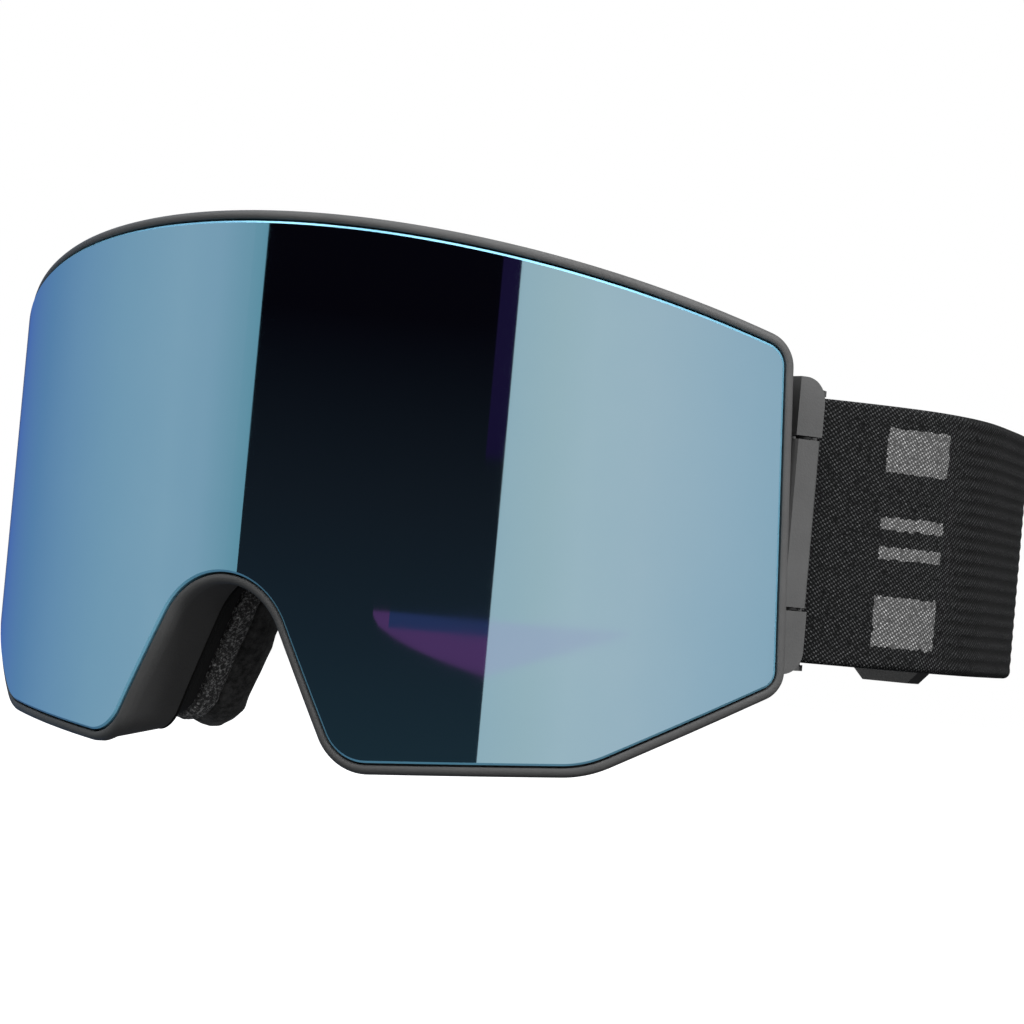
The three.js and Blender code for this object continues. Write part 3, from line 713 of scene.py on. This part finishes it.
def add_vent_foam():
    """Foam strips behind the vents, cut from one ring inside the flange."""
    loops = []
    for inset, shares in ((0, VENT_FOAM_SHARES), (VENT_FOAM_THICKNESS, reversed(VENT_FOAM_SHARES))):
        front = lens_loop(VENT_FOAM_FRONT - inset, FLANGE_FRONT)
        back = face_loop(VENT_FOAM_BACK - inset, FLANGE_BACK)
        loops += [blend_loops(front, back, share) for share in shares]
    rows = len(loops)
    rim = outline_points(LENS_OUTLINE, 0)
    for node, start, end, upper in VENT_FOAMS:
        first, last = arc_index(rim, start, upper), arc_index(rim, end, upper)
        cut = [loop[first:last + 1] for loop in loops]
        count = len(cut[0])
        points = np.concatenate(cut)
        faces = []
        for k in range(rows):
            here, there = k * count, (k + 1) % rows * count
            faces += [(here + i, here + i + 1, there + i + 1, there + i) for i in range(count - 1)]
        faces.append(tuple(k * count for k in range(rows)))
        faces.append(tuple(k * count + count - 1 for k in reversed(range(rows))))
        strip = make_object(node + "_pad", points, turn_outwards(points, faces))
        shade(strip, 50)
        roughen(strip, amount=0.06, size=2.5, seed=11)
        dress(strip, VENT_FOAM, "frame", "black_foam", node)


add_vent_foam()


# ---- strap ---------------------------------------------------------------------------------------

# Plan of the strap: it leaves the bar behind the hinge at an angle from +Y and follows the route.
BAR_ANGLE = math.radians(-16)
STRAP_ANGLE = math.radians(48)
ARM = np.array([math.sin(STRAP_ANGLE), math.cos(STRAP_ANGLE)])
OUT = np.array([ARM[1], -ARM[0]])
BAR = HINGE + STRAP_BAR_REACH * np.array([math.sin(BAR_ANGLE), math.cos(BAR_ANGLE)])
STRAIGHT_BACK_X = 44  # the webbing runs straight across the back inside this distance
STRAP_ROUTE = [
    (89.6, 20.6), (93.6, 28.6), (95.2, 38), (94.6, 48), (91, 63), (85.4, 81), (76.5, 97),
    (66, 114), (57, 128), (51, STRAP_BACK_Y - 2.4), (STRAIGHT_BACK_X, STRAP_BACK_Y),
    (18, STRAP_BACK_Y), (0.03, STRAP_BACK_Y),
]
TAIL = ((12.5, -1.75), (8.5, -1.3), (4.5, -1.6))  # sewn tail: distance along the strap and aside
LEAD = (4.5, 1.6)  # where the strap leaves the bar, on the outer side
CURVE_STEPS = 40  # points between two of the route's points before they are spaced evenly
PATH_STEP = 1.0


def between(a, b, low, high, t):
    return ((high - t) * a + (t - low) * b) / (high - low)


def curve_point(p, knots, t):
    """A point of a Catmull-Rom curve between the second and third of four points."""
    first = [between(p[i], p[i + 1], knots[i], knots[i + 1], t) for i in range(3)]
    second = [between(first[i], first[i + 1], knots[i], knots[i + 2], t) for i in range(2)]
    return between(second[0], second[1], knots[1], knots[2], t)


def even_steps(curve, step):
    """The same polyline in even steps, with the distance run at each point."""
    run = np.concatenate([[0], np.cumsum(np.linalg.norm(np.diff(curve, axis=0), axis=1))])
    even = np.linspace(0, run[-1], max(2, round(run[-1] / step)) + 1)
    return np.stack([np.interp(even, run, curve[:, k]) for k in (0, 1)], 1), even


def smooth_path(points, step):
    """A centripetal Catmull-Rom curve through the points, in even steps."""
    points = [np.array(p, float) for p in points]
    ends = [2 * points[0] - points[1], *points, 2 * points[-1] - points[-2]]
    curve = []
    for p in zip(ends, ends[1:], ends[2:], ends[3:]):
        gaps = [math.sqrt(np.linalg.norm(b - a)) for a, b in zip(p, p[1:])]
        knots = np.cumsum([0, *gaps])
        span = np.linspace(knots[1], knots[2], CURVE_STEPS, endpoint=False)
        curve += [curve_point(p, knots, t) for t in span]
    return even_steps(np.array(curve + [points[-1]]), step)


def strap_path():
    """Middle line of the webbing: sewn tail, round the bar, and along the route to the back."""
    tail = [BAR + ARM * reach + OUT * aside for reach, aside in TAIL]
    turn = [
        BAR + HEM_RADIUS * (math.cos(a) * -OUT - math.sin(a) * ARM)
        for a in np.linspace(0, math.pi, 9)
    ]
    lead = BAR + ARM * LEAD[0] + OUT * LEAD[1]
    path, run = smooth_path([*tail, *turn, lead, *STRAP_ROUTE], PATH_STEP)
    path[path[:, 0] < STRAIGHT_BACK_X, 1] = STRAP_BACK_Y
    at_bar = int(np.argmin(np.linalg.norm(path - (BAR + HEM_RADIUS * OUT), axis=1)))
    return path, run - run[at_bar]


def side_normals(path):
    """Outward normals of a plan line that runs from the bar to the back."""
    along = np.gradient(path, axis=0)
    along /= np.linalg.norm(along, axis=1)[:, None]
    return np.stack([along[:, 1], -along[:, 0]], 1)


EDGE_STEPS = 5  # points round a selvedge
FACE_STEPS = 127  # points up each face, enough to carry the ribs
HEM_END = 6  # distance from the bar where the folded hem starts to thicken to the full webbing
HEM_FADE = 10
BEND_START = (95, 36)  # across and back: from here to the end the strap runs by its outrigger
BEND_END = (84.6, 15.9)


def strap_section(thickness):
    """Offsets (outwards, up) round the webbing's section, with round selvedges."""
    half = thickness / 2
    faces = np.linspace(STRAP_BOTTOM + half, STRAP_TOP - half, FACE_STEPS)
    round_end = np.linspace(0, math.pi, EDGE_STEPS + 2)[1:-1]
    top = [(half * math.cos(a), STRAP_TOP - half + half * math.sin(a)) for a in round_end]
    low = [(-half * math.cos(a), STRAP_BOTTOM + half - half * math.sin(a)) for a in round_end]
    outer = [(half, z) for z in faces]
    inner = [(-half, z) for z in reversed(faces)]
    return np.array(outer + top + inner + low)


def add_strap(side, sign):
    path, run = strap_path()
    normals = side_normals(path)
    loops, weave = [], []
    for place, normal, distance in zip(path, normals, run):
        grown = np.clip((distance - HEM_END) / HEM_FADE, 0, 1)
        section = strap_section(HEM_THICKNESS + (STRAP_THICKNESS - HEM_THICKNESS) * grown)
        rib = RIB_HEIGHT * np.clip((distance - RIB_START) / RIB_FADE, 0, 1)
        swell = rib * np.sign(section[:, 0]) * np.sin(2 * math.pi * section[:, 1] / RIB_PITCH)
        outwards = section[:, 0] + swell
        loops.append(np.stack([
            place[0] + normal[0] * outwards,
            place[1] + normal[1] * outwards,
            section[:, 1],
        ], 1))
        weave.append(np.stack([np.full(len(section), distance), section[:, 1]], 1))
    points, count = np.concatenate(loops), len(loops[0])
    points[:, 0] *= sign
    faces = turn_outwards(points, capped_faces(count, len(loops)))
    strap = make_object(f"woven_strap_{side}", points, faces, np.concatenate(weave))
    shade(strap, 60)
    strap.data.materials.append(WEAVE)
    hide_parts(f"strap_{side}", f"strap_end_{side}")
    start, end = [(sign * x * MM, y * MM, 0) for x, y in (BEND_START, BEND_END)]
    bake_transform(strap)
    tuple(start)
    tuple(end)
    add_grip_lines(side, sign, path, normals, run)


TUBE_TIP = 0.45  # share of the radius at both ends of a bead


def tube(name, centres, radius, sides=8):
    """A round bead along a line of points, closed at both ends."""
    centres = np.asarray(centres, float)
    along = np.gradient(centres, axis=0)
    along /= np.linalg.norm(along, axis=1)[:, None]
    loops = []
    for i, (place, way) in enumerate(zip(centres, along)):
        across = np.cross(way, (0, 0, 1.0) if abs(way[2]) < 0.9 else (1.0, 0, 0))
        across /= np.linalg.norm(across)
        rise = np.cross(across, way)
        size = radius * (TUBE_TIP if i in (0, len(centres) - 1) else 1)
        angles = np.linspace(0, 2 * math.pi, sides, endpoint=False)
        round_it = np.outer(np.cos(angles), across) + np.outer(np.sin(angles), rise)
        loops.append(place + size * round_it)
    points = np.concatenate(loops)
    bead = make_object(name, points, turn_outwards(points, capped_faces(sides, len(loops))))
    shade(bead, 50)
    return bead


GRIP_LEVELS = (-12, 0.4, 13)
GRIP_RADIUS = 0.5
GRIP_LIFT = 0.1  # how far a bead's middle stands off the strap's inner face
GRIP_START = 34  # distance from the bar where the beads begin
GRIP_END_X = 49  # across the back: they end here, clear of the sliders


def add_grip_lines(side, sign, path, normals, run):
    """Silicone beads on the strap's inner face that stop it slipping on a helmet."""
    part = (run > GRIP_START) & (path[:, 0] > GRIP_END_X)
    inner = path[part] - normals[part] * (STRAP_THICKNESS / 2 + GRIP_LIFT)
    inner[:, 0] *= sign
    for n, level in enumerate(GRIP_LEVELS):
        centres = np.column_stack([inner, np.full(len(inner), level)])[::2]
        bead = tube(f"grip_line_{n + 1}_{side}", centres, GRIP_RADIUS)
        dress(bead, SILICONE, "frame", "soft_plastic")


for side, sign in SIDES:
    add_strap(side, sign)


# ---- join patch with its stitches ----------------------------------------------------------------

PATCH_HALF = 8
PATCH_LOW = STRAP_BOTTOM + 1
PATCH_HIGH = STRAP_TOP - 1
PATCH_CORNER = 1.6
PATCH_FRONT = STRAP_BACK_Y + STRAP_THICKNESS / 2 + 0.3
PATCH_LAYERS = ((1.0, 0), (1.0, 0.7), (0.97, 0.95), (0.9, 1.0))  # share of the outline, height
CORNER_STEPS = 5
STITCH_LENGTH = 1.6
STITCH_GAP = 1.0
STITCH_INSET = 1.5
STITCH_RADIUS = 0.22
STITCH_ARCH = ((0.12, 0.98), (0.5, 1.12), (0.88, 0.98))  # share of a step, height over the strap


def patch_outline():
    """A rectangle with round corners, clockwise from the top right."""
    across = PATCH_HALF - PATCH_CORNER
    top, bottom = PATCH_HIGH - PATCH_CORNER, PATCH_LOW + PATCH_CORNER
    corners = ((across, top, 90), (across, bottom, 0), (-across, bottom, -90), (-across, top, -180))
    rim = []
    for x, z, start in corners:
        for k in range(CORNER_STEPS + 1):
            angle = math.radians(start - 90 * k / CORNER_STEPS)
            rim.append((x + PATCH_CORNER * math.cos(angle), z + PATCH_CORNER * math.sin(angle)))
    return np.array(rim)


def add_patch_cover():
    rim = patch_outline()
    middle = np.array([0, (PATCH_LOW + PATCH_HIGH) / 2])
    loops = []
    for share, height in PATCH_LAYERS:
        x, z = (middle + (rim - middle) * share).T
        loops.append(np.column_stack([x, np.full(len(rim), PATCH_FRONT + height), z]))
    points = np.concatenate(loops)
    faces = turn_outwards(points, capped_faces(len(rim), len(loops)))
    patch = make_object("strap_join_cover", points, faces, points[:, (0, 2)])
    shade(patch, 40)
    dress(patch, WEAVE, "frame", "strap_weave", "strap_join_patch")


def add_stitches():
    """A sewn box with a cross over the join patch."""
    across = PATCH_HALF - STITCH_INSET
    low, high = PATCH_LOW + STITCH_INSET, PATCH_HIGH - STITCH_INSET
    corners = [(-across, low), (across, low), (across, high), (-across, high)]
    legs = list(zip(corners, corners[1:] + corners[:1]))
    legs += [(corners[0], corners[2]), (corners[1], corners[3])]
    count = 0
    for a, b in legs:
        a, b = np.array(a), np.array(b)
        steps = int(np.linalg.norm(b - a) // (STITCH_LENGTH + STITCH_GAP))
        for k in range(steps):
            centres = []
            for share, height in STITCH_ARCH:
                x, z = a + (b - a) * (k + share) / steps
                centres.append((x, PATCH_FRONT + height, z))
            count += 1
            stitch = tube(f"join_stitch_{count}", centres, STITCH_RADIUS, 6)
            dress(stitch, THREAD_MATERIAL, "frame", "strap_weave")


add_patch_cover()
add_stitches()


# ---- carried-over hardware -----------------------------------------------------------------------

def refinish(node, material, rounding=0.0):
    """A new material, and softened edges, on a CAD piece that keeps its shape."""
    piece = NODES[node]
    piece.data.materials.clear()
    piece.data.materials.append(material)
    if rounding:
        bevel(piece, rounding)


KNUCKLE_ENDS = (-13, 15.5)  # heights of the two slits
WASHER_BORE = 0.95
WASHER_RIM = 1.42
WASHER_THICKNESS = 0.36


def add_slit_shade_washers(side, sign):
    """Thin dark washers that fill the slits at both ends of the middle knuckle, put there to stand for
    the shade inside the slits.
    """
    turns = np.linspace(0, 2 * math.pi, 24, endpoint=False)
    section = ((WASHER_BORE, 1), (WASHER_RIM, 1), (WASHER_RIM, -1), (WASHER_BORE, -1))
    for n, level in enumerate(KNUCKLE_ENDS):
        loops = []
        for radius, rise in section:
            x = sign * HINGE[0] + radius * np.cos(turns)
            y = HINGE[1] + radius * np.sin(turns)
            height = level + rise * WASHER_THICKNESS / 2
            loops.append(np.column_stack([x, y, np.full(len(turns), height)]))
        washer = ring_object(f"slit_shade_washer_{n + 1}_{side}", loops)
        dress(washer, RUBBER, "frame", "soft_plastic")


for side, sign in SIDES:
    # Dark washers in the slits stand for the shade there.
    add_slit_shade_washers(side, sign)
    refinish(f"side_bracket_{side}", STRIP_PLASTIC, 0.3)
    refinish(f"outrigger_{side}", STRIP_PLASTIC, 0.25)
    refinish(f"strap_slider_{side}", SLIDER_PLASTIC, 0.5)
    # The pin's near-black steel is painted shade for the slits.
    refinish(f"hinge_pin_{side}", SLIT_SHADE_METAL, 0.15)
    for place in ("upper_outer", "upper_inner", "lower"):
        refinish(f"magnet_{place}_{side}", METAL, 0.2)
        refinish(f"keeper_{place}_{side}", METAL, 0.15)


# ---- floor, light and surroundings ---------------------------------------------------------------

# In metres.
FLOOR_Z = -0.13
FLOOR_HALF = 4.0


def add_floor():
    corners = [(-1, -1), (1, -1), (1, 1), (-1, 1)]
    mesh = bpy.data.meshes.new("floor")
    places = [(x * FLOOR_HALF, y * FLOOR_HALF, FLOOR_Z) for x, y in corners]
    mesh.from_pydata(places, [], [(0, 1, 2, 3)])
    floor = bpy.data.objects.new("floor", mesh)
    bpy.context.collection.objects.link(floor)
    n = Surface("pale_floor", Roughness=0.9, Emission_Strength=1.0)
    n.color(n.mix(n.noise(6), (0.80, 0.80, 0.80, 1), (0.84, 0.84, 0.84, 1)))
    n.shader.inputs["Emission Color"].default_value = (1, 1, 1, 1)
    mesh.materials.append(n.material)
    floor.visible_glossy = False
    floor.visible_diffuse = False


# Lights: name, direction from -Y towards +X, height, distance, size, power, seen in the mirror.
LIGHTS = [
    ("key", 76, 42, 1.3, 0.55, 25, True),
    ("top", 20, 80, 1.2, 0.8, 6, True),
    ("left", -55, 50, 1.3, 0.6, 8, True),
    ("front", 4, 44, 1.3, 0.6, 6, True),
    ("low", 50, 3, 1.3, 0.5, 4, False),
]


def add_light(name, azimuth, elevation, distance, size, power, mirrored):
    """A soft square light aimed at the goggles."""
    a, e = math.radians(azimuth), math.radians(elevation)
    level = math.cos(e)
    place = Vector((math.sin(a) * level, -math.cos(a) * level, math.sin(e))) * distance
    data = bpy.data.lights.new(name, "AREA")
    data.size = size
    data.energy = power
    lamp = bpy.data.objects.new(name, data)
    lamp.location = place
    lamp.rotation_euler = place.to_track_quat("Z", "Y").to_euler()
    lamp.visible_camera = False
    lamp.visible_glossy = mirrored
    bpy.context.collection.objects.link(lamp)


# What the mirror sees, by direction from -Y towards +X in degrees: (direction, red, green, blue).
HORIZON = [
    (-180, 0.07, 0.07, 0.075), (-138, 0.07, 0.07, 0.075), (-128, 0.08, 0.17, 0.46),
    (-106, 0.16, 0.30, 0.50), (-90, 0.26, 0.40, 0.56), (-73, 0.35, 0.485, 0.595),
    (-56, 0.42, 0.535, 0.62), (-47, 0.40, 0.515, 0.60), (-40, 0.31, 0.46, 0.53),
    (-36, 0.24, 0.42, 0.48), (15.7, 0.60, 0.645, 0.655), (24, 0.66, 0.68, 0.67),
    (31, 0.71, 0.71, 0.71), (42, 0.69, 0.69, 0.71), (57, 0.60, 0.64, 0.69),
    (67, 0.53, 0.60, 0.66), (110, 0.30, 0.32, 0.34), (135, 0.07, 0.07, 0.075),
    (180, 0.07, 0.07, 0.075),
]
# The dark gap between the bright panels, by height in degrees.
DARK_GAP = [
    (-3.2, 0.022, 0.038, 0.048), (-0.7, 0.017, 0.024, 0.032), (1.5, 0.013, 0.015, 0.020),
    (4.6, 0.003, 0.002, 0.004),
]
GAP_FADE = 6
GAP_LEFT = -36
GAP_RIGHT = 15.7
GAP_HEIGHT = 25
# The glow in the gap, its navy band and the violet edge, in the same degrees.
GLOW_LEFT = -6.5
GLOW_TAIL = 42.0
GLOW_LOW = -1.2
GLOW_HIGH = -0.28
GLOW_PLUM = (0.135, 0.045, 0.14, 1)
GLOW_LILAC = (0.66, 0.58, 0.70, 1)
TAIL_STRENGTH = 0.75
NAVY_LEFT = -3.2
NAVY_HEIGHT = 0.26
GLOW_NAVY = (0.035, 0.045, 0.12, 1)
EDGE_LEFT = 12.2
EDGE_LOW = 2.4
EDGE_VIOLET = (0.016, 0.008, 0.036, 1)
ROOM_LIGHT = (0.14, 0.14, 0.142, 1)
WHITE = (1, 1, 1, 1)


def fill_ramp(node, stops, low, high):
    ramp = node.color_ramp
    while len(ramp.elements) > 1:
        ramp.elements.remove(ramp.elements[-1])
    for n, (at, *colour) in enumerate(stops):
        place = (at - low) / (high - low)
        element = ramp.elements[0] if n == 0 else ramp.elements.new(place)
        element.position = place
        element.color = (*colour, 1)


def add_violet_edge(n, studio, azimuth, elevation):
    """A violet stripe down the right side of the dark gap."""
    high_enough = n.math("GREATER_THAN", elevation, EDGE_LOW)
    return n.mix(n.both(n.inside(azimuth, EDGE_LEFT, GAP_RIGHT), high_enough), studio, EDGE_VIOLET)


def add_glow(n, studio, azimuth, elevation):
    """A plum shape low in the gap, with a navy band, and a lilac tail across the bright panel."""
    depth = n.math("SQRT", n.spread(azimuth, GLOW_LEFT, GAP_RIGHT))
    bottom = n.math("SUBTRACT", GLOW_HIGH, n.both(depth, GLOW_HIGH - GLOW_LOW))
    level = n.inside(elevation, bottom, GLOW_HIGH)
    studio = n.mix(n.both(n.inside(azimuth, GLOW_LEFT, GAP_RIGHT), level), studio, GLOW_PLUM)
    band = n.inside(elevation, GLOW_HIGH - NAVY_HEIGHT, GLOW_HIGH)
    studio = n.mix(n.both(n.inside(azimuth, NAVY_LEFT, GAP_RIGHT), band), studio, GLOW_NAVY)
    taper = n.spread(azimuth, GAP_RIGHT, GLOW_TAIL, GLOW_LOW, GLOW_HIGH)
    tail = n.both(n.inside(azimuth, GAP_RIGHT, GLOW_TAIL), n.inside(elevation, taper, GLOW_HIGH))
    return n.mix(n.both(tail, TAIL_STRENGTH), studio, GLOW_LILAC)


def add_surroundings():
    """A white room for the eye, soft light for matt surfaces, and a studio for what is glossy."""
    world = bpy.data.worlds.new("studio")
    bpy.context.scene.world = world
    world.use_nodes = True
    world.node_tree.nodes.clear()
    n = Tree(world.node_tree)
    way = n.add("SeparateXYZ", {0: n.add("TexCoord").outputs["Generated"]})
    x, y, z = way.outputs
    to_degrees = 180 / math.pi
    azimuth = n.both(n.math("ARCTAN2", x, n.both(y, -1)), to_degrees)
    elevation = n.both(n.math("ARCSINE", z), to_degrees)
    panels = n.add("ValToRGB", {0: n.spread(azimuth, -180, 180)})
    fill_ramp(panels, HORIZON, -180, 180)
    gap = n.add("ValToRGB", {0: n.spread(elevation, -GAP_FADE, GAP_FADE)})
    fill_ramp(gap, DARK_GAP, -GAP_FADE, GAP_FADE)
    low_part = n.math("LESS_THAN", n.math("ABSOLUTE", elevation), GAP_HEIGHT)
    in_gap = n.both(n.inside(azimuth, GAP_LEFT, GAP_RIGHT), low_part)
    studio = n.mix(in_gap, panels.outputs[0], gap.outputs[0])
    studio = add_violet_edge(n, studio, azimuth, elevation)
    studio = add_glow(n, studio, azimuth, elevation)
    path = n.add("LightPath")
    soft = n.mix(path.outputs["Is Diffuse Ray"], studio, ROOM_LIGHT)
    seen = n.mix(path.outputs["Is Camera Ray"], soft, WHITE)
    background = n.add("Background", {"Color": seen, "Strength": 1.0})
    n.add("OutputWorld", {"Surface": background.outputs[0]})


add_floor()
for light in LIGHTS:
    add_light(*light)
add_surroundings()
bpy.context.scene.view_settings.view_transform = "Standard"
